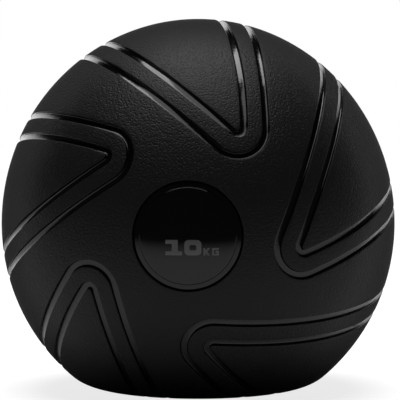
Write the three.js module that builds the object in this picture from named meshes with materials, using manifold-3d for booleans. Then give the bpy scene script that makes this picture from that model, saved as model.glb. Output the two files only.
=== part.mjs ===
// A 10 kg non-bounce medicine ball: a thick PVC shell filled with sand, slumped on a small flat foot.
// Millimetres, +Z up. The origin is under the ball's middle, on the surface that it stands on, and the
// round medallion faces -Y. Every piece is drawn on a round ball first and then slumped with it.

import * as THREE from 'three';
import { mergeVertices } from 'three/addons/utils/BufferGeometryUtils.js';
import Module from 'manifold-3d';

const wasm = await Module();
wasm.setup();

// ---------- Driving dimensions: lengths in millimetres, angles in degrees ----------

const BALL = {
  radius: 115,        // at its widest level section
  centreHeight: 97.5, // of that section above the floor
  topSemiAxis: 119.5, // the ball stands slightly tall above its widest section
  lowSemiAxis: 116.5, // below it, before the floor cuts it flat
  footBlend: 11,      // how softly the side turns into the flat foot
  wall: 8,
};
const GAP = 0.3;      // between pieces that touch on the real ball
const FACETS = { round: 36, halfRings: 10, hollowRound: 28, hollowRings: 14, port: 28, valve: 20 };

// The clearance is how far the groove's cutter stands out of the ball.
const GROOVE = { width: 4.3, depth: 1.8, draft: 10, clearance: 3 };

// Five petals swirl round the medallion. Each is two closed grooves, one inside the other, that turn
// round an apex near the medallion, cross the ball's front-to-back middle and turn again at the back.
const PETALS = 5;
const PETAL = {
  firstLongitude: 66,    // of the first apex, anticlockwise from +X
  apexColatitude: 33.9,  // from the medallion's centre to the centre of the apex arcs
  leftHeading: 72.4,     // of the arms where they leave the arcs, from straight outward
  rightHeading: 22.7,
  middleLead: 35.2,      // from the apex's longitude to the petal's middle, half way to the back
  middleLean: 17.7,      // of the arms from the meridian, where they cross the middle
};
const LOOPS = [
  { arcRadius: 8.6, halfSpread: 24.2, arcSteps: 5 },  // the outer groove of each petal
  { arcRadius: 2, halfSpread: 17, arcSteps: 3 },      // the inner groove
];
const ARM_STEPS = 7;

const MEDALLION = {
  recessRim: 15.35,     // colatitude of the recess's outer rim
  recessFoot: 15.2,     // and of the foot of its wall
  recessDepth: 4,
  flangeRim: 14.95,     // colatitude of the low flange's edge, just inside that wall
  flangeThickness: 2,
  radius: 26.6,         // of the raised disc on the flange
  thickness: 3,
  edge: 0.8,            // chamfer round the face
};

// The weight marked on the medallion: two wide digits, with two small letters after them.
const MARK = {
  left: -12, base: -10.2,  // of the first digit, from the medallion's middle
  digit: { width: 9.2, height: 8.3, pen: 2.8 },
  letter: { width: 3.6, height: 4, pen: 1 },
  gap: 1.1, thickness: 0.5,
};

const PORT = { recessRadius: 16, recessDepth: 4, holeRadius: 10 };
const PLUG = {
  flangeRadius: 15.6, flangeThickness: 2.6,
  barbRadius: 11.5, barbLength: 3, barbDrop: 1.8,  // the barb's drop is from the hollow's roof
  boreRadius: 3.4, chamfer: 1,
};
const PLUG_HEAD_SEAT = { radius: 5.4, depth: 1.5 };
const SLEEVE = { radius: 3.1, boreRadius: 1.6, length: 9 };
const AIR_PLUG = {
  headRadius: 5, headThickness: 1.1, lip: 0.35,
  stemRadius: 1.3, stemLength: 7.5, taper: 1,
};

const SAND_HEADSPACE = 18;  // between the level sand and the top of the hollow

// ---------- The slumped ball ----------

const rad = THREE.MathUtils.degToRad;

// The distance from the ball's centre to its outer surface, along a unit direction: an ellipsoid that
// a level floor cuts off, with the cut's edge blended.
function surfaceRadius(direction) {
  const acrossPart = (direction.x ** 2 + direction.y ** 2) / BALL.radius ** 2;
  const semiAxis = direction.z > 0 ? BALL.topSemiAxis : BALL.lowSemiAxis;
  const ellipsoid = 1 / Math.sqrt(acrossPart + (direction.z / semiAxis) ** 2);
  if (direction.z >= 0) return ellipsoid;
  const floor = BALL.centreHeight / -direction.z;
  const overlap = Math.max(BALL.footBlend - Math.abs(ellipsoid - floor), 0) / BALL.footBlend;
  return Math.min(ellipsoid, floor) - overlap ** 2 * BALL.footBlend / 4;
}

// Moves each vertex along its radius by as much as the slumped ball differs there from a round one.
function slump(geometry) {
  const place = geometry.attributes.position;
  const vertex = new THREE.Vector3();
  for (let i = 0; i < place.count; i++) {
    vertex.fromBufferAttribute(place, i);
    const distance = vertex.length();
    const direction = vertex.clone().divideScalar(distance);
    direction.multiplyScalar(distance + surfaceRadius(direction) - BALL.radius);
    place.setXYZ(i, direction.x, direction.y, direction.z);
  }
  return geometry;
}

// ---------- Shapes ----------

// A point of a lathe profile, in the plane that holds the front-to-back axis.
function polar(radius, colatitude) {
  return new THREE.Vector2(radius * Math.sin(rad(colatitude)), -radius * Math.cos(rad(colatitude)));
}

// A round arc of a lathe profile, from one colatitude to another.
function arc(radius, from, to, steps) {
  return Array.from({ length: steps + 1 }, (_, i) => polar(radius, from + (to - from) * i / steps));
}

function lathe(points, segments = FACETS.round) {
  return new THREE.LatheGeometry(points, segments);
}

// Keeps positions only, merged, without the slivers that a lathe leaves on its axis.
function closedShape(geometry) {
  const bare = geometry.clone();
  bare.deleteAttribute('normal');
  bare.deleteAttribute('uv');
  const merged = mergeVertices(bare, 1e-3);
  const index = merged.index.array;
  const kept = [];
  for (let i = 0; i < index.length; i += 3) {
    const [a, b, c] = index.slice(i, i + 3);
    if (a !== b && b !== c && c !== a) kept.push(a, b, c);
  }
  merged.setIndex(kept);
  return merged;
}

function solid(geometry) {
  const shape = closedShape(geometry);
  return new wasm.Manifold(new wasm.Mesh({
    numProp: 3,
    vertProperties: new Float32Array(shape.attributes.position.array),
    triVerts: new Uint32Array(shape.index.array),
  }));
}

function fromSolid(body) {
  const mesh = body.getMesh();
  const geometry = new THREE.BufferGeometry();
  geometry.setAttribute('position', new THREE.BufferAttribute(mesh.vertProperties, 3));
  geometry.setIndex(new THREE.BufferAttribute(mesh.triVerts, 1));
  geometry.computeVertexNormals();
  return geometry;
}

// ---------- The groove pattern ----------

// A flat map of the ball seen from the medallion: distance from the middle is the colatitude, and
// the angle is the longitude. The pattern's arcs and arms are drawn on it, in degrees.
function onMap(distance, angle) {
  return new THREE.Vector2(distance * Math.cos(rad(angle)), distance * Math.sin(rad(angle)));
}

// Where the line from one point along one heading meets the line through another.
function meeting(from, heading, to, otherHeading) {
  const along = onMap(1, heading);
  const across = onMap(1, otherHeading);
  const apart = to.clone().sub(from);
  const distance = apart.cross(across) / along.cross(across);
  return from.clone().addScaledVector(along, distance);
}

// The front half of one groove loop on the map, from where it crosses the ball's middle on the right,
// round its apex, to where it crosses on the left.
function frontHalf(loop, apexLongitude) {
  const centre = onMap(PETAL.apexColatitude, apexLongitude);
  const left = apexLongitude + PETAL.leftHeading;
  const right = apexLongitude + PETAL.rightHeading;
  const middle = apexLongitude + PETAL.middleLead;
  const arms = [
    { heading: right, touch: right - 90, crossing: middle - loop.halfSpread },
    { heading: left, touch: left + 90 - 360, crossing: middle + loop.halfSpread },
  ].map(({ heading, touch, crossing }) => {
    const start = centre.clone().add(onMap(loop.arcRadius, touch));
    const end = onMap(90, crossing);
    const knee = meeting(start, heading, end, crossing + PETAL.middleLean);
    return new THREE.QuadraticBezierCurve(start, knee, end).getPoints(ARM_STEPS);
  });
  const turn = Array.from({ length: loop.arcSteps - 1 }, (_, i) => {
    const angle = right - 90 + (left - right - 180) * (i + 1) / loop.arcSteps;
    return centre.clone().add(onMap(loop.arcRadius, angle));
  });
  return [...arms[0].reverse(), ...turn, ...arms[1]];
}

// The whole loop as directions from the ball's centre. The back half is the front half turned half a
// turn about the line from the ball's centre through the petal's middle.
function loopDirections(loop, petal) {
  const apexLongitude = PETAL.firstLongitude + petal * 360 / PETALS;
  const middle = apexLongitude + PETAL.middleLead;
  const front = frontHalf(loop, apexLongitude)
    .map((point) => ({ colatitude: point.length(), longitude: point.angle() * 180 / Math.PI }));
  const back = front.map(({ colatitude, longitude }) => (
    { colatitude: 180 - colatitude, longitude: 2 * middle - longitude }));
  const whole = [...front.slice(0, -1), ...back.slice(0, -1)];
  return whole.map(({ colatitude, longitude }) => new THREE.Vector3(
    Math.sin(rad(colatitude)) * Math.cos(rad(longitude)),
    -Math.cos(rad(colatitude)),
    Math.sin(rad(colatitude)) * Math.sin(rad(longitude)),
  ));
}

// A closed four-sided bar that follows the loop, wider at the top, whose lower part is the groove.
function grooveCutter(directions) {
  const count = directions.length;
  const corners = [];
  const spread = Math.tan(rad(GROOVE.draft));
  const [top, floor] = [GROOVE.clearance, -GROOVE.depth];
  const section = [[-1, top], [1, top], [1, floor], [-1, floor]];
  for (let i = 0; i < count; i++) {
    const out = directions[i];
    const ahead = directions[(i + 1) % count].clone().sub(directions[(i + count - 1) % count]);
    const side = ahead.cross(out).normalize();
    for (const [hand, height] of section) {
      const halfWidth = GROOVE.width / 2 + height * spread;
      corners.push(out.clone().multiplyScalar(BALL.radius + height).addScaledVector(side, hand * halfWidth));
    }
  }
  const faces = [];
  for (let i = 0; i < count; i++) {
    for (let k = 0; k < 4; k++) {
      const [a, b] = [4 * i + k, 4 * i + (k + 1) % 4];
      const [c, d] = [4 * ((i + 1) % count) + k, 4 * ((i + 1) % count) + (k + 1) % 4];
      faces.push(a, b, d, a, d, c);
    }
  }
  return slump(new THREE.BufferGeometry().setFromPoints(corners).setIndex(faces));
}

function allGrooves() {
  const cutters = LOOPS.flatMap((loop) => Array.from({ length: PETALS }, (_, petal) => (
    solid(grooveCutter(loopDirections(loop, petal))))));
  return cutters.reduce((joined, cutter) => joined.add(cutter));
}

// ---------- The pieces ----------

const INNER_RADIUS = BALL.radius - BALL.wall;
const DISH_RADIUS = BALL.radius - MEDALLION.recessDepth;
const PORT_SEAT = BALL.radius - PORT.recessDepth;
const SAND_RADIUS = INNER_RADIUS - GAP;

// The colatitude of a circle round the front-to-back axis, counted from the back pole.
function backColatitude(circleRadius, ballRadius) {
  return 180 - Math.asin(circleRadius / ballRadius) * 180 / Math.PI;
}

// A plain cylinder on the front-to-back axis, between two distances behind the ball's centre.
function backCylinder(radius, from, to) {
  return solid(slump(lathe([
    new THREE.Vector2(0, from), new THREE.Vector2(radius, from),
    new THREE.Vector2(radius, to), new THREE.Vector2(0, to),
  ])));
}

function hollow(radius) {
  return solid(slump(lathe(arc(radius, 0, 180, FACETS.hollowRings), FACETS.hollowRound)));
}

function outerShell() {
  const outside = solid(slump(lathe([
    ...arc(DISH_RADIUS, 0, MEDALLION.recessFoot, 2),
    ...arc(BALL.radius, MEDALLION.recessRim, 90, FACETS.halfRings),
    ...arc(BALL.radius, 90, backColatitude(PORT.recessRadius, BALL.radius), FACETS.halfRings).slice(1),
    new THREE.Vector2(PORT.recessRadius, PORT_SEAT),
    new THREE.Vector2(0, PORT_SEAT),
  ])));
  const portHole = backCylinder(PORT.holeRadius, INNER_RADIUS - BALL.wall, BALL.radius);
  return fromSolid(outside.subtract(hollow(INNER_RADIUS)).subtract(portHole).subtract(allGrooves()));
}

function sandFill() {
  const plugEnd = INNER_RADIUS - PLUG.barbDrop - PLUG.barbLength;
  const plugSpace = backCylinder(PLUG.barbRadius + GAP, plugEnd - GAP, BALL.radius);
  const headspace = new THREE.BoxGeometry(2 * BALL.radius, 2 * BALL.radius, BALL.radius);
  const level = BALL.topSemiAxis - BALL.wall - SAND_HEADSPACE;
  headspace.translate(0, 0, level + BALL.radius / 2);
  return fromSolid(hollow(SAND_RADIUS).subtract(plugSpace).subtract(solid(headspace)));
}

const MEDALLION_FACE = DISH_RADIUS + GAP + MEDALLION.thickness;

// The colatitude of a circle round the front-to-back axis, counted from the medallion's middle.
function frontColatitude(circleRadius, ballRadius) {
  return Math.asin(circleRadius / ballRadius) * 180 / Math.PI;
}

// A disc with a domed face, raised on a low flange that fills the recess.
function medallionDisc() {
  const back = DISH_RADIUS + GAP;
  const flange = back + MEDALLION.flangeThickness;
  const shoulder = MEDALLION_FACE - MEDALLION.edge;
  return slump(lathe([
    ...arc(back, 0, MEDALLION.flangeRim, 3),
    polar(flange, MEDALLION.flangeRim),
    polar(flange, frontColatitude(MEDALLION.radius, flange)),
    polar(shoulder, frontColatitude(MEDALLION.radius, shoulder)),
    ...arc(MEDALLION_FACE, frontColatitude(MEDALLION.radius - MEDALLION.edge, MEDALLION_FACE), 0, 2),
  ].reverse()));
}

// Lays a flat mark, drawn in X and Y with its thickness along Z, on the medallion's domed face.
function onMedallion(shape, left) {
  const geometry = new THREE.ExtrudeGeometry(shape, {
    depth: MARK.thickness, bevelEnabled: false, curveSegments: 3,
  });
  const place = geometry.attributes.position;
  const point = new THREE.Vector3();
  for (let i = 0; i < place.count; i++) {
    const x = left + place.getX(i);
    const z = MARK.base + place.getY(i);
    point.set(x, -Math.sqrt(MEDALLION_FACE ** 2 - x ** 2 - z ** 2), z);
    point.setLength(MEDALLION_FACE + GAP + place.getZ(i));
    place.setXYZ(i, point.x, point.y, point.z);
  }
  return slump(geometry);
}

function outline(points) {
  return new THREE.Shape(points.map(([x, y]) => new THREE.Vector2(x, y)));
}

// A rectangle with round corners, at an inset from the glyph's own rectangle.
function roundedRectangle(path, { width, height }, inset, radius) {
  const [left, low, right, top] = [inset, inset, width - inset, height - inset];
  path.absarc(right - radius, low + radius, radius, -Math.PI / 2, 0);
  path.absarc(right - radius, top - radius, radius, 0, Math.PI / 2);
  path.absarc(left + radius, top - radius, radius, Math.PI / 2, Math.PI);
  path.absarc(left + radius, low + radius, radius, Math.PI, 3 * Math.PI / 2);
  return path;
}

// A one with a slab foot and a short flag. The stem's place is a share of the width, and its own
// width and the slabs' height are shares of the pen.
const ONE = { stemPlace: 0.38, stem: 1.15, slab: 0.78 };

function digitOne({ width, height, pen }) {
  const left = width * ONE.stemPlace;
  const right = left + pen * ONE.stem;
  const foot = pen * ONE.slab;
  const flag = height - foot;
  return outline([
    [0, 0], [width, 0], [width, foot], [right, foot], [right, height],
    [0, height], [0, flag], [left, flag], [left, foot], [0, foot],
  ]);
}

const HOLE_ROUNDING = 0.3;  // of the zero's hole, as a share of the pen

function digitZero(size) {
  const shape = roundedRectangle(new THREE.Shape(), size, 0, size.pen);
  shape.holes.push(roundedRectangle(new THREE.Path(), size, size.pen, size.pen * HOLE_ROUNDING));
  return shape;
}

// A K whose two legs run from its stem's middle to its outer corners.
const LEG = 1.3;  // the width of a leg's end, as a share of the pen

function letterK({ width, height, pen }) {
  const middle = height / 2;
  const inner = width - pen * LEG;
  return outline([
    [0, 0], [pen, 0], [pen, middle - pen / 2], [inner, 0], [width, 0], [2 * pen, middle],
    [width, height], [inner, height], [pen, middle + pen / 2], [pen, height], [0, height],
  ]);
}

// A square G. Its shelf starts half way across.
function letterG({ width, height, pen }) {
  const shelf = (height + pen) / 2;
  const [left, right] = [pen, width - pen];
  return outline([
    [0, 0], [width, 0], [width, shelf], [width / 2, shelf], [width / 2, shelf - pen],
    [right, shelf - pen], [right, pen], [left, pen], [left, height - pen],
    [width, height - pen], [width, height], [0, height],
  ]);
}

const MARKS = [
  { name: 'mark_digit_1', draw: digitOne, size: MARK.digit },
  { name: 'mark_digit_0', draw: digitZero, size: MARK.digit },
  { name: 'mark_letter_k', draw: letterK, size: MARK.letter },
  { name: 'mark_letter_g', draw: letterG, size: MARK.letter },
];

// The port's pieces turn about the front-to-back axis. A profile gives radii from it, and distances
// behind the ball's centre.
function turned(profile, segments) {
  return slump(lathe(profile.map(([radius, distance]) => new THREE.Vector2(radius, distance)), segments));
}

const FLANGE_SEAT = PORT_SEAT + GAP;
const FLANGE_FACE = FLANGE_SEAT + PLUG.flangeThickness;
const SLEEVE_FACE = FLANGE_FACE - PLUG_HEAD_SEAT.depth - GAP;

function fillerPlug() {
  const shank = PORT.holeRadius - GAP;
  const barbTop = INNER_RADIUS - PLUG.barbDrop;
  const end = barbTop - PLUG.barbLength;
  return turned([
    [PLUG.boreRadius, end], [PLUG.barbRadius - PLUG.chamfer, end], [PLUG.barbRadius, barbTop],
    [shank, barbTop], [shank, FLANGE_SEAT], [PLUG.flangeRadius, FLANGE_SEAT],
    [PLUG.flangeRadius, FLANGE_FACE - PLUG.chamfer], [PLUG.flangeRadius - PLUG.chamfer, FLANGE_FACE],
    [PLUG_HEAD_SEAT.radius, FLANGE_FACE],
    [PLUG_HEAD_SEAT.radius, FLANGE_FACE - PLUG_HEAD_SEAT.depth],
    [PLUG.boreRadius, FLANGE_FACE - PLUG_HEAD_SEAT.depth], [PLUG.boreRadius, end],
  ], FACETS.port);
}

function valveSleeve() {
  const end = SLEEVE_FACE - SLEEVE.length;
  return turned([
    [SLEEVE.boreRadius, end], [SLEEVE.radius, end], [SLEEVE.radius, SLEEVE_FACE],
    [SLEEVE.boreRadius, SLEEVE_FACE], [SLEEVE.boreRadius, end],
  ], FACETS.valve);
}

function airPlug() {
  const under = FLANGE_FACE - PLUG_HEAD_SEAT.depth + GAP;
  const top = under + AIR_PLUG.headThickness;
  const tip = under - AIR_PLUG.stemLength;
  return turned([
    [0, tip], [AIR_PLUG.stemRadius - AIR_PLUG.lip, tip],
    [AIR_PLUG.stemRadius, tip + AIR_PLUG.taper], [AIR_PLUG.stemRadius, under],
    [AIR_PLUG.headRadius, under], [AIR_PLUG.headRadius, top - AIR_PLUG.lip],
    [AIR_PLUG.headRadius - AIR_PLUG.lip, top], [0, top],
  ], FACETS.valve);
}

// ---------- The ball, put together ----------

const FINISH = {
  shell: { color: 0x17181a, roughness: 0.6, metalness: 0 },
  gloss: { color: 0x0c0d0e, roughness: 0.2, metalness: 0 },
  mark: { color: 0x3a3f3c, roughness: 0.4, metalness: 0 },
  plug: { color: 0x141516, roughness: 0.45, metalness: 0 },
  sand: { color: 0xb79a6b, roughness: 1, metalness: 0 },
};

const ball = new THREE.Group();
ball.position.z = BALL.centreHeight;

function add(name, geometry, finish) {
  const mesh = new THREE.Mesh(geometry, new THREE.MeshStandardMaterial(FINISH[finish]));
  mesh.name = name;
  ball.add(mesh);
}

add('outer_shell', outerShell(), 'shell');
add('sand_fill', sandFill(), 'sand');
add('medallion_disc', medallionDisc(), 'gloss');
let left = MARK.left;
for (const { name, draw, size } of MARKS) {
  add(name, onMedallion(draw(size), left), 'mark');
  left += size.width + MARK.gap;
}
add('filler_plug', fillerPlug(), 'plug');
add('valve_sleeve', valveSleeve(), 'gloss');
add('air_plug', airPlug(), 'plug');

export default ball;
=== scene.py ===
"""A sand-filled non-bounce medicine ball: a pebble-grained black PVC shell with swirled glossy grooves,
a gloss medallion and a filling port, standing slumped on a pale studio floor."""
import math

import bmesh
import bpy
import numpy as np
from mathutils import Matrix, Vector
from mathutils.geometry import delaunay_2d_cdt
from mathutils.kdtree import KDTree


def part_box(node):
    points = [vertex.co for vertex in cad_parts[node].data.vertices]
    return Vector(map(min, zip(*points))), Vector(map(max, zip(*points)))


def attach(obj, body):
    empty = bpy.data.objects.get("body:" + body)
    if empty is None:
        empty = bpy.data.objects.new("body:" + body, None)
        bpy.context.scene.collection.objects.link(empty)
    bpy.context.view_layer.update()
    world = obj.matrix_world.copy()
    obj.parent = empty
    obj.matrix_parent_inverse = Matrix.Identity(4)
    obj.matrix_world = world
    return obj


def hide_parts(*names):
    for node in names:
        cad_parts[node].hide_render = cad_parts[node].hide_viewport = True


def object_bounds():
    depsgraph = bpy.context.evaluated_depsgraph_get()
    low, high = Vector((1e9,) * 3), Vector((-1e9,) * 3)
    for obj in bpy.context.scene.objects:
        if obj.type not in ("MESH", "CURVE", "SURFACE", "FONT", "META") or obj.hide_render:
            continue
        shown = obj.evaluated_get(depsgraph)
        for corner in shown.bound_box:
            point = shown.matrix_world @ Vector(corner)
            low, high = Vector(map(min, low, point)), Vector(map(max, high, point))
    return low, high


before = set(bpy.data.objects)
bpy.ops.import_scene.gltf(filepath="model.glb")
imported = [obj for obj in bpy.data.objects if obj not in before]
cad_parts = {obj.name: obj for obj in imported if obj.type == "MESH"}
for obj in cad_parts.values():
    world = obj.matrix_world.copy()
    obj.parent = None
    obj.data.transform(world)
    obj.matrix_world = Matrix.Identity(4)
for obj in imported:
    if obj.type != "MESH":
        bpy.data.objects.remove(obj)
cad_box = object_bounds()

MM = 0.001

# ---------- The ball's shape, as the frame's own ball has it ----------

LOW, HIGH = (np.array(corner) for corner in cad_box)
RADIUS = (HIGH[0] - LOW[0]) / 2
CENTRE_HEIGHT = 97.5 * MM
TOP_SEMI_AXIS = HIGH[2] - CENTRE_HEIGHT
LOW_SEMI_AXIS = 116.5 * MM
FOOT_BLEND = 11 * MM
CENTRE = np.array((0, 0, CENTRE_HEIGHT))

# The groove pattern, in degrees on a flat map of the ball seen from the medallion: distance from the
# map's middle is the colatitude, and the angle is the longitude.
PETALS = 5
FIRST_LONGITUDE = 66                      # of the first petal's apex
APEX_COLATITUDE = 33.9                    # of the centre of the apex arcs
LEFT_HEADING, RIGHT_HEADING = 72.4, 22.7  # of the arms where they leave the arcs
MIDDLE_LEAD = 35.2                        # from the apex to the petal's middle, half way to the back
MIDDLE_LEAN = 17.7                        # of the arms where they cross the ball's middle
LOOPS = ((8.6, 24.2), (2, 17))            # arc radius and half spread of the outer and the inner groove

# Across a groove, from its middle to the flat land: distance and depth.
GROOVE_SECTION = np.array((
    (0, 1.8), (1.0, 1.78), (1.6, 1.68), (1.85, 1.45), (1.97, 1.0), (2.12, 0.28), (2.26, 0.06), (2.6, 0),
)) * MM

STEP_ALONG = 1.6 * MM              # between mesh points along a groove
STEP_LAND = 2.4 * MM               # and on the open land
STEP_SEARCH = 0.3 * MM             # between the points that the distance to a groove is measured from
LAND_CLEARANCE = 0.45 * STEP_LAND  # from a groove's edge to the nearest point on the land
ARM_POINTS, ARC_POINTS = 80, 60    # of a groove's curves, before they are spaced evenly
CAP_COLATITUDE = 17                # the medallion's and the port's surroundings start here
CAP_POINTS = 180
MAP_TOLERANCE = 1e-5               # degrees on the flat map
WELD = 0.01 * MM
GROOVE_EDGE = 2.0, 2.3             # mm from a groove's middle, where its gloss gives way to the land
FARTHEST = 8                       # mm, the largest distance that the shell's attribute holds

GAP = 0.3 * MM  # between pieces that touch on the real ball

# The medallion and its recess: colatitudes, and distances from the ball's centre.
RECESS_RIM, RECESS_FOOT, FLANGE_RIM = 15.35, 15.2, 15.12
DISH_RADIUS = RADIUS - 4 * MM
MEDALLION_BACK = DISH_RADIUS + GAP
MEDALLION_FLANGE = MEDALLION_BACK + 2 * MM
MEDALLION_FACE = MEDALLION_BACK + 3 * MM
MEDALLION_RADIUS = 26.6 * MM
MEDALLION_EDGE = 0.8 * MM
MEDALLION_FACETS = 160

# The print on the medallion: half its thickness less its round edge, the edge, and its glyphs'
# proportions as shares of their width or height.
PRINT_HALF, PRINT_EDGE = 0.12 * MM, 0.06 * MM
PRINT_SHARPNESS = 40  # degrees between faces that stay sharp
ONE_STEM, ONE_SLABS, ONE_ROUNDING = (0.38, 0.73), (0.26, 0.74), 0.04
ZERO_PEN, ZERO_ROUNDING, ZERO_HOLE_ROUNDING = 0.33, 0.27, 0.1
LETTER_PEN, K_LEG, K_ROUNDING, G_ROUNDING = 0.25, 1.3, 0.02, 0.04

# The filling port behind. Seats and faces are distances from the ball's centre.
INNER_RADIUS = RADIUS - 8 * MM
PORT_RADIUS, HOLE_RADIUS = 16 * MM, 10 * MM
PORT_SEAT = RADIUS - 4 * MM
FLANGE_SEAT = PORT_SEAT + GAP
FLANGE_FACE = FLANGE_SEAT + 2.6 * MM
HEAD_SEAT = FLANGE_FACE - 1.5 * MM
SEAT_RADIUS = 5.4 * MM
PLUG_FLANGE, PLUG_SHANK, PLUG_BORE = 15.6 * MM, 9.7 * MM, 3.4 * MM
BARB_RADIUS, BARB_TIP, BARB_LENGTH, BARB_DROP = 11.5 * MM, 10.5 * MM, 3 * MM, 1.8 * MM
RING_RIMS, RING_FLOOR, RING_DEPTH = (13.2 * MM, 11.8 * MM), (12.8 * MM, 12.2 * MM), 0.4 * MM
SLEEVE_RADIUS, SLEEVE_BORE, SLEEVE_LENGTH = 3.1 * MM, 1.6 * MM, 9 * MM
STOPPER_HEAD, STOPPER_THICKNESS = 5 * MM, 1.1 * MM
STOPPER_STEM, STOPPER_TIP, STOPPER_LENGTH, STOPPER_TAPER = 1.3 * MM, 1.0 * MM, 7.5 * MM, 1 * MM
DIMPLE_RIM, DIMPLE_FLOOR, DIMPLE_DEPTH = 3.6 * MM, 2.9 * MM, 0.5 * MM
PORT_FACETS, VALVE_FACETS = 128, 64


def surface_radius(directions):
    """The distance from the ball's centre to its outer surface, along each unit direction."""
    across = (directions[:, 0] ** 2 + directions[:, 1] ** 2) / RADIUS ** 2
    rise = directions[:, 2]
    semi_axis = np.where(rise > 0, TOP_SEMI_AXIS, LOW_SEMI_AXIS)
    ellipsoid = 1 / np.sqrt(across + (rise / semi_axis) ** 2)
    floor = np.where(rise < 0, CENTRE_HEIGHT / np.maximum(-rise, 1e-6), np.inf)
    overlap = np.maximum(FOOT_BLEND - np.abs(ellipsoid - floor), 0) / FOOT_BLEND
    return np.minimum(ellipsoid, floor) - overlap ** 2 * FOOT_BLEND / 4


def unit(vectors):
    return vectors / np.linalg.norm(vectors, axis=-1, keepdims=True)


def to_direction(colatitude, longitude):
    """Unit directions from the ball's centre, from degrees round the medallion's middle."""
    c, l = np.broadcast_arrays(np.radians(colatitude), np.radians(longitude))
    return np.stack((np.sin(c) * np.cos(l), -np.cos(c), np.sin(c) * np.sin(l)), axis=-1)


def to_map(directions):
    colatitude = np.degrees(np.arccos(np.clip(-directions[:, 1], -1, 1)))
    longitude = np.arctan2(directions[:, 2], directions[:, 0])
    return colatitude[:, None] * np.stack((np.cos(longitude), np.sin(longitude)), axis=1)


def from_map(points):
    longitude = np.degrees(np.arctan2(points[:, 1], points[:, 0]))
    return to_direction(np.linalg.norm(points, axis=1), longitude)


# ---------- The grooves ----------

def map_vector(length, degrees):
    return length * np.array((math.cos(math.radians(degrees)), math.sin(math.radians(degrees))))


def arm(start, heading, end, end_heading):
    """A curve that leaves start along one heading and arrives at end from another's line."""
    along, back = map_vector(1, heading), map_vector(1, end_heading)
    reach = np.linalg.solve(np.stack((along, back), axis=1), end - start)[0]
    knee = start + reach * along
    t = np.linspace(0, 1, ARM_POINTS)[:, None]
    return (1 - t) ** 2 * start + 2 * t * (1 - t) * knee + t ** 2 * end


def front_half(loop, apex_longitude):
    """One groove on the map, from the ball's middle on the right, round its apex, to it on the left."""
    arc_radius, half_spread = loop
    centre = map_vector(APEX_COLATITUDE, apex_longitude)
    left, right = apex_longitude + LEFT_HEADING, apex_longitude + RIGHT_HEADING
    middle = apex_longitude + MIDDLE_LEAD
    arms = []
    for heading, touch, crossing in (
        (right, right - 90, middle - half_spread),
        (left, left - 270, middle + half_spread),
    ):
        start = centre + map_vector(arc_radius, touch)
        arms.append(arm(start, heading, map_vector(90, crossing), crossing + MIDDLE_LEAN))
    angles = np.linspace(right - 90, left - 270, ARC_POINTS)[1:-1]
    turn = [centre + map_vector(arc_radius, angle) for angle in angles]
    return np.vstack((arms[0][::-1], turn, arms[1]))


def resample(directions, step):
    """The same path with even steps of about the given length on the ball."""
    lengths = np.linalg.norm(np.diff(directions, axis=0), axis=1)
    along = np.concatenate(((0,), np.cumsum(lengths)))
    count = max(round(along[-1] * RADIUS / step), 2)
    places = np.linspace(0, along[-1], count + 1)
    return unit(np.stack([np.interp(places, along, directions[:, i]) for i in range(3)], axis=1))


def half_turn(directions, longitude):
    """Turned half a turn about the line from the ball's centre at the longitude, half way to the back."""
    axis = to_direction(90, longitude)
    return 2 * (directions @ axis)[:, None] * axis - directions


def closed_loop(loop, petal, step):
    """The whole groove's middle line. Its back half is its front half turned over."""
    apex_longitude = FIRST_LONGITUDE + petal * 360 / PETALS
    front = resample(from_map(front_half(loop, apex_longitude)), step)
    back = half_turn(front, apex_longitude + MIDDLE_LEAD)
    return np.vstack((front[:-1], back[:-1]))


def offset(path, distance):
    """The closed path moved sideways on the ball."""
    ahead = np.roll(path, -1, axis=0) - np.roll(path, 1, axis=0)
    side = unit(np.cross(ahead, path))
    return unit(path + side * math.tan(distance / RADIUS))


def front_part(path):
    """The stretch of a closed path in front of the ball's middle, ending exactly on it at both ends."""
    inside = path[:, 1] < -1e-9
    first = int(np.flatnonzero(inside & ~np.roll(inside, 1))[0])
    path, inside = np.roll(path, -first, axis=0), np.roll(inside, -first)
    count = int(np.flatnonzero(~inside)[0])

    def crossing(inner, outer):
        share = inner[1] / (inner[1] - outer[1])
        point = inner + share * (outer - inner)
        return unit(point * (1, 0, 1))

    return np.vstack((crossing(path[0], path[-1]), path[:count], crossing(path[count - 1], path[count])))


# ---------- Meshing the grooved half ----------

def groove_lines():
    """The front half of each line along the grooves that the mesh has to follow."""
    distances = sorted({*GROOVE_SECTION[:, 0], *(-GROOVE_SECTION[:, 0])})
    return [
        front_part(offset(closed_loop(loop, petal, STEP_ALONG), distance))
        for loop in LOOPS for petal in range(PETALS) for distance in distances
    ]


def groove_tree():
    """Finds the distance to the nearest groove's middle."""
    middles = np.vstack([
        closed_loop(loop, petal, STEP_SEARCH) for loop in LOOPS for petal in range(PETALS)
    ])
    tree = KDTree(len(middles))
    for i, point in enumerate(middles * RADIUS):
        tree.insert(point, i)
    tree.balance()
    return tree


def distance_to_groove(tree, directions):
    return np.array([tree.find(d * RADIUS)[2] for d in directions])


def middle_circle(lines):
    """Points round the ball's middle: where the lines cross it, with the gaps between filled evenly."""
    ends = np.vstack([line[[0, -1]] for line in lines])
    longitudes = np.sort(np.degrees(np.arctan2(ends[:, 2], ends[:, 0])) % 360)
    following = np.append(longitudes[1:], longitudes[0] + 360)
    step = math.degrees(STEP_LAND / RADIUS)
    filled = []
    for here, there in zip(longitudes, following):
        count = max(math.ceil((there - here) / step), 1)
        filled += [here + (there - here) * i / count for i in range(count)]
    return to_direction(90, np.array(filled))


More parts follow.
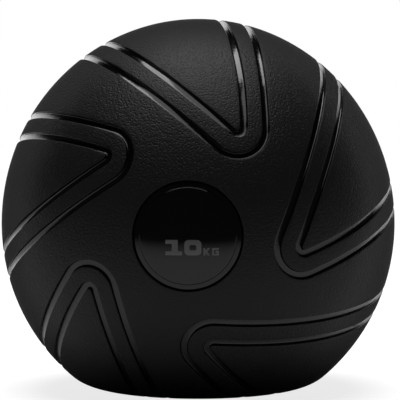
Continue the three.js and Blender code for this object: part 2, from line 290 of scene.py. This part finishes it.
def land_points(tree):
    """Evenly spread points on the land between the grooves."""
    clear = GROOVE_SECTION[-1, 0] + LAND_CLEARANCE
    step = math.degrees(STEP_LAND / RADIUS)
    rows = int((90 - CAP_COLATITUDE) / step)
    points = []
    for row in range(1, rows):
        colatitude = CAP_COLATITUDE + (90 - CAP_COLATITUDE) * row / rows
        count = int(360 * math.sin(math.radians(colatitude)) / step)
        longitudes = 360 * (np.arange(count) + row % 2 / 2) / count
        points.append(to_direction(colatitude, longitudes))
    points = np.vstack(points)
    return points[distance_to_groove(tree, points) > clear]


def triangulate(lines, closed, loose):
    """A front half of unit directions and triangles that follow every line."""
    points, edges = [], []
    for line in lines:
        start = sum(map(len, points))
        edges += [(start + i, start + i + 1) for i in range(len(line) - 1)]
        points.append(line)
    for ring in closed:
        start = sum(map(len, points))
        edges += [(start + i, start + (i + 1) % len(ring)) for i in range(len(ring))]
        points.append(ring)
    flat = to_map(np.vstack((*points, loose)))
    found, _, faces, *_ = delaunay_2d_cdt([Vector(p) for p in flat], edges, [], 0, MAP_TOLERANCE, False)
    found, faces = np.array(found), np.array(faces)
    middles = found[faces].mean(axis=1)
    faces = faces[np.linalg.norm(middles, axis=1) > CAP_COLATITUDE * math.cos(math.pi / CAP_POINTS)]
    corners = found[faces]
    first, second = corners[:, 1] - corners[:, 0], corners[:, 2] - corners[:, 0]
    turned = first[:, 0] * second[:, 1] - first[:, 1] * second[:, 0] < 0
    faces[turned] = faces[turned][:, ::-1]
    return from_map(found), faces


# ---------- Solids and rings about the front-to-back line ----------

def polar(distance, colatitude):
    """The (radius from the line, distance along it) of a point, from its polar place."""
    angle = math.radians(colatitude)
    return distance * math.sin(angle), distance * math.cos(angle)


def filleted(corners, steps=5):
    """An outline through (x, y, rounding) corners, where each rounded corner is an arc."""
    outline = []
    for i, (*corner, rounding) in enumerate(corners):
        here = np.array(corner)
        if rounding == 0:
            outline.append(here)
            continue
        before = unit(np.array(corners[i - 1][:2]) - here)
        after = unit(np.array(corners[(i + 1) % len(corners)][:2]) - here)
        half = math.acos(before @ after) / 2
        centre = here + unit(before + after) * rounding / math.sin(half)
        start = here + before * rounding / math.tan(half) - centre
        end = here + after * rounding / math.tan(half) - centre
        sweep = math.pi - 2 * half
        for t in np.linspace(0, 1, steps + 1):
            turn = math.sin((1 - t) * sweep) * start + math.sin(t * sweep) * end
            outline.append(centre + turn / math.sin(sweep))
    return np.array(outline)


def revolve(outline, count, closed=False):
    """Points in front of the ball's centre, and quads, from (radius, distance) pairs turned about the
    line."""
    angles = np.arange(count) * 2 * math.pi / count
    radius, distance = outline[:, :1], outline[:, 1:]
    points = np.stack((
        radius * np.cos(angles), -distance + 0 * angles, radius * np.sin(angles),
    ), axis=-1).reshape(-1, 3)
    faces = []
    for r in range(len(outline) - (not closed)):
        here, inner = r * count, (r + 1) % len(outline) * count
        for i in range(count):
            j = (i + 1) % count
            faces.append((here + i, here + j, inner + j, inner + i))
    return points, faces


def slump(points):
    """Points of the round ball, moved as the standing ball sags."""
    distances = np.linalg.norm(points, axis=1)
    directions = points / distances[:, None]
    return directions * (distances + surface_radius(directions) - RADIUS)[:, None] + CENTRE


def make_object(name, parts, body, material, replaces):
    """One piece from (points, faces) parts of the round ball, joined where they touch."""
    points, faces, start = [], [], 0
    for part_points, part_faces in parts:
        points += slump(part_points).tolist()
        faces += [[start + int(i) for i in face] for face in part_faces]
        start = len(points)
    mesh = bpy.data.meshes.new(name)
    mesh.from_pydata(points, [], faces)
    work = bmesh.new()
    work.from_mesh(mesh)
    bmesh.ops.remove_doubles(work, verts=work.verts, dist=WELD)
    bmesh.ops.recalc_face_normals(work, faces=work.faces)
    work.to_mesh(mesh)
    work.free()
    mesh.shade_smooth()
    mesh.materials.append(material)
    piece = bpy.data.objects.new(name, mesh)
    bpy.context.scene.collection.objects.link(piece)
    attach(piece, body)
    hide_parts(*replaces)
    return piece


def to_back(points):
    """From in front of the ball to behind it, by half a turn about the upright line."""
    return points * (-1, -1, 1)


# ---------- The shell ----------

def shell_half(tree):
    """The front half of the outside, with its grooves, down to the medallion's surroundings."""
    lines = groove_lines()
    cap = to_direction(CAP_COLATITUDE, np.arange(CAP_POINTS) * 360 / CAP_POINTS)
    directions, faces = triangulate(lines, (middle_circle(lines), cap), land_points(tree))
    depth = np.interp(distance_to_groove(tree, directions), *GROOVE_SECTION.T)
    return directions * (RADIUS - depth)[:, None], faces.tolist()


def medallion_recess():
    """From the open land down into the round dish that the medallion is set in."""
    land = [(*polar(RADIUS, colatitude), 0) for colatitude in (CAP_COLATITUDE, 16.5, 16)]
    wall = [(*polar(RADIUS, RECESS_RIM), 0.4 * MM), (*polar(DISH_RADIUS, RECESS_FOOT), 0.5 * MM)]
    dish = [(*polar(DISH_RADIUS, colatitude), 0) for colatitude in (12, 9, 6, 3, 0)]
    return revolve(filleted(land + wall + dish), CAP_POINTS)


def port_and_hollow():
    """From the land behind, down the filling port's recess and hole, and round the inner wall."""
    rim = math.degrees(math.asin(PORT_RADIUS / RADIUS))
    mouth = math.degrees(math.asin(HOLE_RADIUS / INNER_RADIUS))
    land = [(*polar(RADIUS, colatitude), 0) for colatitude in (CAP_COLATITUDE, 15, 13, 11, 9.5)]
    port = [
        (*polar(RADIUS, rim), 0.8 * MM),
        (PORT_RADIUS, PORT_SEAT, 0.4 * MM),
        (HOLE_RADIUS, PORT_SEAT, 0.4 * MM),
        (*polar(INNER_RADIUS, mouth), 0.4 * MM),
    ]
    inner = [(*polar(INNER_RADIUS, colatitude), 0) for colatitude in np.linspace(12, 180, 29)]
    return revolve(filleted(land + port + inner), CAP_POINTS)


def build_shell(material):
    tree = groove_tree()
    middle = FIRST_LONGITUDE + MIDDLE_LEAD
    front_points, front_faces = shell_half(tree)
    port_points, port_faces = port_and_hollow()
    shell = make_object("ball_shell", (
        (front_points, front_faces),
        medallion_recess(),
        (half_turn(front_points, middle), front_faces),
        (half_turn(port_points, middle), port_faces),
    ), "ball", material, ("outer_shell",))
    places = np.zeros(len(shell.data.vertices) * 3)
    shell.data.vertices.foreach_get("co", places)
    directions = unit(places.reshape(-1, 3) - CENTRE)
    distances = distance_to_groove(tree, directions) / MM
    in_recess = directions[:, 1] < -math.cos(math.radians(RECESS_RIM))
    attribute = shell.data.attributes.new("groove_distance", "FLOAT", "POINT")
    attribute.data.foreach_set("value", np.where(in_recess, 0, np.minimum(distances, FARTHEST)))


# ---------- The medallion ----------

def build_medallion(material):
    """A domed disc with a rounded edge, on a lower flange that fills the recess."""
    rim = math.degrees(math.asin(MEDALLION_RADIUS / MEDALLION_FACE))
    foot = math.degrees(math.asin(MEDALLION_RADIUS / MEDALLION_FLANGE))
    back = [(*polar(MEDALLION_BACK, colatitude), 0) for colatitude in (0, 4, 8, 12)]
    flange = [
        (*polar(MEDALLION_BACK, FLANGE_RIM), 0.3 * MM),
        (*polar(MEDALLION_FLANGE, FLANGE_RIM), 0.4 * MM),
        (*polar(MEDALLION_FLANGE, foot + 0.05), 0.3 * MM),
    ]
    face = [(*polar(MEDALLION_FACE, colatitude), 0) for colatitude in (11, 9, 7, 5, 3, 1, 0)]
    edge = [(*polar(MEDALLION_FACE, rim), MEDALLION_EDGE)]
    disc = revolve(filleted(back + flange + edge + face, steps=8), MEDALLION_FACETS)
    make_object("medallion", [disc], "ball", material, ["medallion_disc"])


# ---------- The weight marked on the medallion ----------

def box_outline(left, low, right, top, rounding):
    return filleted([
        (left, low, rounding), (right, low, rounding), (right, top, rounding), (left, top, rounding),
    ])


def digit_one(width, height):
    """A stem with a short flag and a slab foot."""
    left, right = (share * width for share in ONE_STEM)
    foot, flag = (share * height for share in ONE_SLABS)
    corners = (
        (0, 0), (width, 0), (width, foot), (right, foot), (right, height),
        (0, height), (0, flag), (left, flag), (left, foot), (0, foot),
    )
    return [filleted([(*corner, ONE_ROUNDING * height) for corner in corners])]


def digit_zero(width, height):
    pen = ZERO_PEN * height
    hole = box_outline(pen, pen, width - pen, height - pen, ZERO_HOLE_ROUNDING * height)
    return [box_outline(0, 0, width, height, ZERO_ROUNDING * height), hole[::-1]]


def letter_k(width, height):
    pen, middle = LETTER_PEN * height, height / 2
    inner = width - K_LEG * pen
    corners = (
        (0, 0), (pen, 0), (pen, middle - pen / 2), (inner, 0), (width, 0), (2 * pen, middle),
        (width, height), (inner, height), (pen, middle + pen / 2), (pen, height), (0, height),
    )
    return [filleted([(*corner, K_ROUNDING * height) for corner in corners])]


def letter_g(width, height):
    pen = LETTER_PEN * height
    shelf, right = (height + pen) / 2, width - pen
    corners = (
        (0, 0), (width, 0), (width, shelf), (width / 2, shelf), (width / 2, shelf - pen),
        (right, shelf - pen), (right, pen), (pen, pen), (pen, height - pen), (width, height - pen),
        (width, height), (0, height),
    )
    return [filleted([(*corner, G_ROUNDING * height) for corner in corners])]


def build_mark(node, draw, material):
    """A thin raised print with rounded edges, laid on the domed face where the frame has it."""
    low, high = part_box(node)
    curve = bpy.data.curves.new(node, "CURVE")
    curve.dimensions = "2D"
    curve.fill_mode = "BOTH"
    curve.extrude = PRINT_HALF
    curve.bevel_depth = PRINT_EDGE
    curve.offset = -curve.bevel_depth
    for outline in draw(high[0] - low[0], high[2] - low[2]):
        spline = curve.splines.new("POLY")
        spline.points.add(len(outline) - 1)
        for point, (x, y) in zip(spline.points, outline):
            point.co = (x, y, 0, 1)
        spline.use_cyclic_u = True
    flat = bpy.data.objects.new(node, curve)
    bpy.context.scene.collection.objects.link(flat)
    evaluated = flat.evaluated_get(bpy.context.evaluated_depsgraph_get())
    mesh = bpy.data.meshes.new_from_object(evaluated)
    bpy.data.objects.remove(flat)
    corner = np.array((low[0], low[2] - CENTRE_HEIGHT))
    places = np.array([vertex.co for vertex in mesh.vertices])
    across = places[:, :2] + corner
    forward = np.sqrt(MEDALLION_FACE ** 2 - (across ** 2).sum(axis=1))
    directions = unit(np.stack((across[:, 0], -forward, across[:, 1]), axis=1))
    points = directions * (MEDALLION_FACE + places[:, 2:])
    faces = [list(face.vertices) for face in mesh.polygons]
    name = node.replace("mark_", "print_")
    mark = make_object(name, [(points, faces)], "ball", material, [node])
    mark.data.set_sharp_from_angle(angle=math.radians(PRINT_SHARPNESS))


# ---------- The filling port's pieces ----------

def build_filler_plug(material):
    """A flanged plug with a ring groove in its face, a seat for the stopper and a barb inside."""
    barb = INNER_RADIUS - BARB_DROP
    end = barb - BARB_LENGTH
    ring_floor = FLANGE_FACE - RING_DEPTH
    outline = filleted((
        (PLUG_BORE, end, 0.2 * MM), (BARB_TIP, end, 0.3 * MM), (BARB_RADIUS, barb, 0.3 * MM),
        (PLUG_SHANK, barb, 0.2 * MM), (PLUG_SHANK, FLANGE_SEAT, 0.2 * MM),
        (PLUG_FLANGE, FLANGE_SEAT, 0.3 * MM), (PLUG_FLANGE, FLANGE_FACE, 0.9 * MM),
        (RING_RIMS[0], FLANGE_FACE, 0.15 * MM), (RING_FLOOR[0], ring_floor, 0.15 * MM),
        (RING_FLOOR[1], ring_floor, 0.15 * MM), (RING_RIMS[1], FLANGE_FACE, 0.15 * MM),
        (SEAT_RADIUS, FLANGE_FACE, 0.3 * MM), (SEAT_RADIUS, HEAD_SEAT, 0.2 * MM),
        (PLUG_BORE, HEAD_SEAT, 0.3 * MM),
    ))
    points, faces = revolve(outline, PORT_FACETS, closed=True)
    make_object("port_plug", [(to_back(points), faces)], "ball", material, ["filler_plug"])


def build_valve_sleeve(material):
    face = HEAD_SEAT - GAP
    end = face - SLEEVE_LENGTH
    outline = filleted((
        (SLEEVE_BORE, end, 0.2 * MM), (SLEEVE_RADIUS, end, 0.4 * MM),
        (SLEEVE_RADIUS, face, 0.3 * MM), (SLEEVE_BORE, face, 0.3 * MM),
    ))
    points, faces = revolve(outline, VALVE_FACETS, closed=True)
    sleeve = [(to_back(points), faces)]
    make_object("rubber_sleeve", sleeve, "ball", material, ["valve_sleeve"])


def build_air_plug(material):
    """A stopper with a dimple in its head and a tapered stem."""
    under = HEAD_SEAT + GAP
    top = under + STOPPER_THICKNESS
    end = under - STOPPER_LENGTH
    outline = filleted((
        (0, end, 0), (STOPPER_TIP, end, 0.3 * MM), (STOPPER_STEM, end + STOPPER_TAPER, 0.3 * MM),
        (STOPPER_STEM, under, 0.2 * MM), (STOPPER_HEAD, under, 0.2 * MM),
        (STOPPER_HEAD, top, 0.45 * MM), (DIMPLE_RIM, top, 0.2 * MM),
        (DIMPLE_FLOOR, top - DIMPLE_DEPTH, 0.3 * MM), (0, top - DIMPLE_DEPTH, 0),
    ))
    points, faces = revolve(outline, VALVE_FACETS)
    stopper = [(to_back(points), faces)]
    make_object("air_stopper", stopper, "air_plug", material, ["air_plug"])


# ---------- Materials ----------

def add_node(tree, kind, values=None, **settings):
    """A shader node, with its inputs set to values or linked from other nodes' outputs."""
    node = tree.nodes.new(kind)
    for name, value in settings.items():
        setattr(node, name, value)
    for name, value in (values or {}).items():
        if isinstance(value, bpy.types.NodeSocket):
            tree.links.new(value, node.inputs[name])
        else:
            node.inputs[name].default_value = value
    return node


def new_material(name, colour, roughness, specular=0.5):
    material = bpy.data.materials.new(name)
    material.use_nodes = True
    surface = material.node_tree.nodes["Principled BSDF"]
    surface.inputs["Base Color"].default_value = (*colour, 1)
    surface.inputs["Roughness"].default_value = roughness
    surface.inputs["Specular IOR Level"].default_value = specular
    return material, material.node_tree, surface


def object_place(tree):
    return add_node(tree, "ShaderNodeTexCoord").outputs["Object"]


def noise(tree, place, scale, detail=3):
    return add_node(tree, "ShaderNodeTexNoise", {
        "Vector": place, "Scale": scale, "Detail": detail,
    }).outputs["Fac"]


def ramp(tree, value, low, high, to_low=0.0, to_high=1.0):
    """A smooth step from one value to another, as the input goes from low to high."""
    return add_node(tree, "ShaderNodeMapRange", {
        "Value": value, "From Min": low, "From Max": high, "To Min": to_low, "To Max": to_high,
    }, interpolation_type="SMOOTHSTEP").outputs["Result"]


def multiply(tree, first, second):
    node = tree.nodes.new("ShaderNodeMath")
    node.operation = "MULTIPLY"
    for place, value in enumerate((first, second)):
        if isinstance(value, bpy.types.NodeSocket):
            tree.links.new(value, node.inputs[place])
        else:
            node.inputs[place].default_value = value
    return node.outputs[0]


def mix_colour(tree, factor, first, second):
    return add_node(tree, "ShaderNodeMix", {
        0: factor, 6: (*first, 1), 7: (*second, 1),
    }, data_type="RGBA").outputs[2]


def mix_value(tree, factor, first, second):
    return add_node(tree, "ShaderNodeMix", {0: factor, 2: first, 3: second}, data_type="FLOAT").outputs[0]


def bump(tree, height, distance, normal=None):
    """A normal that shows height, 0 to 1, as a relief of the given depth, on top of another normal."""
    values = {"Height": height, "Distance": distance}
    if normal is not None:
        values["Normal"] = normal
    return add_node(tree, "ShaderNodeBump", values).outputs["Normal"]


LAND_COLOUR, GROOVE_COLOUR = (0.008,) * 3, (0.003,) * 3
LAND_ROUGHNESS, GRAZING_ROUGHNESS, GROOVE_ROUGHNESS = 0.5, 0.9, 0.15
GRAZING = 0.42, 0.85  # where the pebbles start and finish hiding the land's gloss, as Layer Weight's Facing
GROOVE_COAT, COAT_ROUGHNESS, COAT_IOR = 0.4, 0.12, 1.6
PEBBLE_SCALE, PEBBLE_HEIGHT = 700, 0.14 * MM  # scales are features per metre
PEBBLE_RISE = 0.1, 0.6  # from a cell's middle, in cells, where the relief starts and ends
GRAIN_SCALE, GRAIN_HEIGHT = 1000, 0.18 * MM
RIPPLE_SCALE, RIPPLE_HEIGHT = 240, 0.16 * MM


def shell_material():
    """Matt black PVC with a pebble grain on the lands, and smooth gloss in the grooves."""
    material, tree, surface = new_material("pebbled_pvc", LAND_COLOUR, LAND_ROUGHNESS, specular=0.22)
    place = object_place(tree)
    distance = add_node(tree, "ShaderNodeAttribute", attribute_name="groove_distance").outputs["Fac"]
    land = ramp(tree, distance, *GROOVE_EDGE)
    cells = add_node(tree, "ShaderNodeTexVoronoi", {"Vector": place, "Scale": PEBBLE_SCALE})
    pebbles = multiply(tree, ramp(tree, cells.outputs["Distance"], *PEBBLE_RISE), land)
    grain = multiply(tree, noise(tree, place, GRAIN_SCALE), land)
    ripple = noise(tree, place, RIPPLE_SCALE)
    normal = bump(tree, ripple, RIPPLE_HEIGHT)
    normal = bump(tree, pebbles, PEBBLE_HEIGHT, normal)
    normal = bump(tree, grain, GRAIN_HEIGHT, normal)
    tree.links.new(normal, surface.inputs["Normal"])
    facing = add_node(tree, "ShaderNodeLayerWeight", {"Blend": 0.5}).outputs["Facing"]
    land_roughness = ramp(tree, facing, *GRAZING, LAND_ROUGHNESS, GRAZING_ROUGHNESS)
    roughness = mix_value(tree, land, GROOVE_ROUGHNESS, land_roughness)
    tree.links.new(roughness, surface.inputs["Roughness"])
    tree.links.new(ramp(tree, distance, *GROOVE_EDGE, GROOVE_COAT, 0), surface.inputs["Coat Weight"])
    surface.inputs["Coat Roughness"].default_value = COAT_ROUGHNESS
    surface.inputs["Coat IOR"].default_value = COAT_IOR
    tree.links.new(mix_colour(tree, land, GROOVE_COLOUR, LAND_COLOUR), surface.inputs["Base Color"])
    return material


def gloss_material():
    """The medallion's moulded gloss, very slightly wavy."""
    material, tree, surface = new_material("gloss_black", (0.002,) * 3, roughness=0.1, specular=0.43)
    waves = noise(tree, object_place(tree), scale=90, detail=1)
    tree.links.new(bump(tree, waves, distance=0.02 * MM), surface.inputs["Normal"])
    return material


def mark_material():
    """Satin grey print."""
    material, tree, surface = new_material("printed_grey", (0.1, 0.108, 0.1), roughness=0.35)
    tooth = noise(tree, object_place(tree), scale=1500)
    tree.links.new(bump(tree, tooth, distance=0.01 * MM), surface.inputs["Normal"])
    return material


RUBBER_SMUDGE = 0.06  # how far a rubber piece's roughness strays from its own


def rubber_material(name, colour, roughness):
    """A soft moulded piece with a fine tooth, and smudges that change its gloss."""
    material, tree, surface = new_material(name, colour, roughness)
    place = object_place(tree)
    tooth = noise(tree, place, scale=1800)
    tree.links.new(bump(tree, tooth, distance=0.02 * MM), surface.inputs["Normal"])
    smudges = noise(tree, place, scale=120)
    smudged = ramp(tree, smudges, 0.3, 0.7, roughness - RUBBER_SMUDGE, roughness + RUBBER_SMUDGE)
    tree.links.new(smudged, surface.inputs["Roughness"])
    return material


DARK_SAND, SAND, PALE_SAND = (0.22, 0.15, 0.08), (0.45, 0.33, 0.18), (0.62, 0.5, 0.32)


def sand_material():
    material, tree, surface = new_material("washed_sand", SAND, roughness=1)
    grains = noise(tree, object_place(tree), scale=1800, detail=2)
    tree.links.new(mix_colour(tree, grains, DARK_SAND, PALE_SAND), surface.inputs["Base Color"])
    tree.links.new(bump(tree, grains, distance=0.3 * MM), surface.inputs["Normal"])
    return material


# ---------- The studio ----------

# Where the floor starts and ends, in metres, with the ball at zero.
FLOOR_FRONT, FLOOR_BACK, FLOOR_SIDE = -1.0, 4.0, 3.0
# As it is seen, the floor reflects a share of the light and gives off some white of its own.
FLOOR_SHADE, FLOOR_GLOW = 0.22, 0.8
# As the ball reflects it, the floor carries painted shade: it gets paler in front of the ball and again
# behind it, and dark towards the front edge, standing in for how much light falls there: depths, then
# shades.
FLOOR_BEFORE, FLOOR_BEHIND = (-0.95, -0.3, 0.01, 0.38), (0.1, 0.6, 0, 0.45)

# The backdrop that the ball reflects gets brighter towards its middle, then ends at the top: parts
# of a direction, then brightness.
BACKDROP_SIDES, BACKDROP_TOP = (0.57, 0.8, 0.03, 1.15), (0.44, 0.53, 1, 0)
WORLD_SEEN = 1.0

# Each soft box: its angle above the front horizon and to the left, its size, and its radiance.
SOFTBOX_DISTANCE = 1.2
SOFTBOXES = (
    ("front_softbox", 73, 4, (1.14, 0.62), 1.6),
    ("top_softbox", 100, 2, (1.0, 0.58), 4.4),
)
WASH_STRENGTH, WASH_ANGLE = 3.2, 40

CAMERA_AZIMUTH, CAMERA_ELEVATION, CAMERA_DISTANCE = 2.9, 3.7, 1.5
CAMERA_LENS = 230
CAMERA_AIM = (1.1 * MM, 0, 13.5 * MM)  # from the ball's centre


def area_light(name, place, aim, size, radiance):
    """A soft box of the given width and length, which shines from place towards aim."""
    light = bpy.data.lights.new(name, "AREA")
    light.shape = "RECTANGLE"
    light.size, light.size_y = size
    light.energy = radiance * math.pi * size[0] * size[1]
    box = bpy.data.objects.new(name, light)
    bpy.context.scene.collection.objects.link(box)
    box.location = place
    box.rotation_euler = Vector(aim - place).to_track_quat("-Z", "Y").to_euler()


def floor_material():
    """Nearly white where it is seen. The ball reflects a darker copy of it, a grey table with painted shade
    that darkens towards the front.
    """
    material, tree, surface = new_material("pale_floor", (0.8, 0.8, 0.8), roughness=1, specular=0)
    seen = add_node(tree, "ShaderNodeLightPath").outputs["Is Camera Ray"]
    depth = add_node(tree, "ShaderNodeSeparateXYZ", {0: object_place(tree)}).outputs["Y"]
    # Painted shade on the floor that the ball reflects: darker towards the front edge, paler behind the
    # ball.
    before = ramp(tree, depth, *FLOOR_BEFORE)
    behind = ramp(tree, depth, *FLOOR_BEHIND)
    painted_floor_shade = add_node(tree, "ShaderNodeMath", {0: before, 1: behind}).outputs[0]
    tree.links.new(mix_value(tree, seen, painted_floor_shade, FLOOR_SHADE), surface.inputs["Base Color"])
    surface.inputs["Emission Color"].default_value = (1, 1, 1, 1)
    tree.links.new(multiply(tree, seen, FLOOR_GLOW), surface.inputs["Emission Strength"])
    return material


def build_floor():
    """A pale table top, which ends in front of the ball and runs far behind it."""
    mesh = bpy.data.meshes.new("floor")
    mesh.from_pydata([
        (-FLOOR_SIDE, FLOOR_FRONT, 0), (FLOOR_SIDE, FLOOR_FRONT, 0),
        (FLOOR_SIDE, FLOOR_BACK, 0), (-FLOOR_SIDE, FLOOR_BACK, 0),
    ], [], [(0, 1, 2, 3)])
    floor = bpy.data.objects.new("floor", mesh)
    bpy.context.scene.collection.objects.link(floor)
    mesh.materials.append(floor_material())
    return floor


def build_world():
    """White where it is seen. The ball reflects a bright backdrop behind it and a dark front."""
    world = bpy.data.worlds.new("studio")
    bpy.context.scene.world = world
    world.use_nodes = True
    tree = world.node_tree
    direction = add_node(tree, "ShaderNodeTexCoord").outputs["Generated"]
    level = add_node(tree, "ShaderNodeVectorMath", {0: direction, 1: (1, 1, 0)}, operation="MULTIPLY")
    level = add_node(tree, "ShaderNodeVectorMath", {0: level.outputs[0]}, operation="NORMALIZE")
    behind = add_node(tree, "ShaderNodeSeparateXYZ", {0: level.outputs[0]}).outputs["Y"]
    height = add_node(tree, "ShaderNodeSeparateXYZ", {0: direction}).outputs["Z"]
    across = ramp(tree, behind, *BACKDROP_SIDES)
    backdrop = multiply(tree, across, ramp(tree, height, *BACKDROP_TOP))
    seen = add_node(tree, "ShaderNodeLightPath").outputs["Is Camera Ray"]
    shade = tree.nodes["Background"]
    tree.links.new(mix_value(tree, seen, backdrop, WORLD_SEEN), shade.inputs["Strength"])
    shade.inputs["Color"].default_value = (1, 1, 1, 1)


def build_lights(floor):
    """Two soft boxes over the ball, and a soft sun that lights the floor only."""
    centre = Vector(CENTRE)
    for name, rise, left, size, radiance in SOFTBOXES:
        angle, aside = math.radians(rise), math.radians(-left)
        towards = Vector((math.sin(aside), -math.cos(angle), math.sin(angle)))
        area_light(name, centre + SOFTBOX_DISTANCE * towards, centre, size, radiance)
    lit = bpy.data.collections.new("floor_only")
    lit.objects.link(floor)
    wash = bpy.data.lights.new("floor_wash", "SUN")
    wash.energy = WASH_STRENGTH
    wash.angle = math.radians(WASH_ANGLE)
    sun = bpy.data.objects.new("floor_wash", wash)
    bpy.context.scene.collection.objects.link(sun)
    sun.light_linking.receiver_collection = lit


def build_camera():
    azimuth, elevation = math.radians(CAMERA_AZIMUTH), math.radians(CAMERA_ELEVATION)
    camera = bpy.data.cameras.new("camera")
    camera.lens = CAMERA_LENS
    seat = bpy.data.objects.new("camera", camera)
    bpy.context.scene.collection.objects.link(seat)
    level = math.cos(elevation)
    back = Vector((math.sin(azimuth) * level, -math.cos(azimuth) * level, math.sin(elevation)))
    seat.location = Vector(CENTRE) + CAMERA_DISTANCE * back
    aim = Vector(CENTRE) + Vector(CAMERA_AIM)
    seat.rotation_euler = (aim - seat.location).to_track_quat("-Z", "Y").to_euler()
    bpy.context.scene.camera = seat


# ---------- Everything together ----------

build_shell(shell_material())
build_medallion(gloss_material())
build_filler_plug(rubber_material("plug_rubber", (0.012, 0.012, 0.013), 0.45))
build_valve_sleeve(rubber_material("sleeve_rubber", (0.03, 0.03, 0.03), 0.7))
build_air_plug(rubber_material("stopper_plastic", (0.02, 0.02, 0.022), 0.35))

printed = mark_material()
build_mark("mark_digit_1", digit_one, printed)
build_mark("mark_digit_0", digit_zero, printed)
build_mark("mark_letter_k", letter_k, printed)
build_mark("mark_letter_g", letter_g, printed)

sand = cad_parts["sand_fill"]
sand.data.materials.clear()
sand.data.materials.append(sand_material())

build_world()
build_lights(build_floor())
build_camera()
bpy.context.scene.view_settings.view_transform = "Standard"
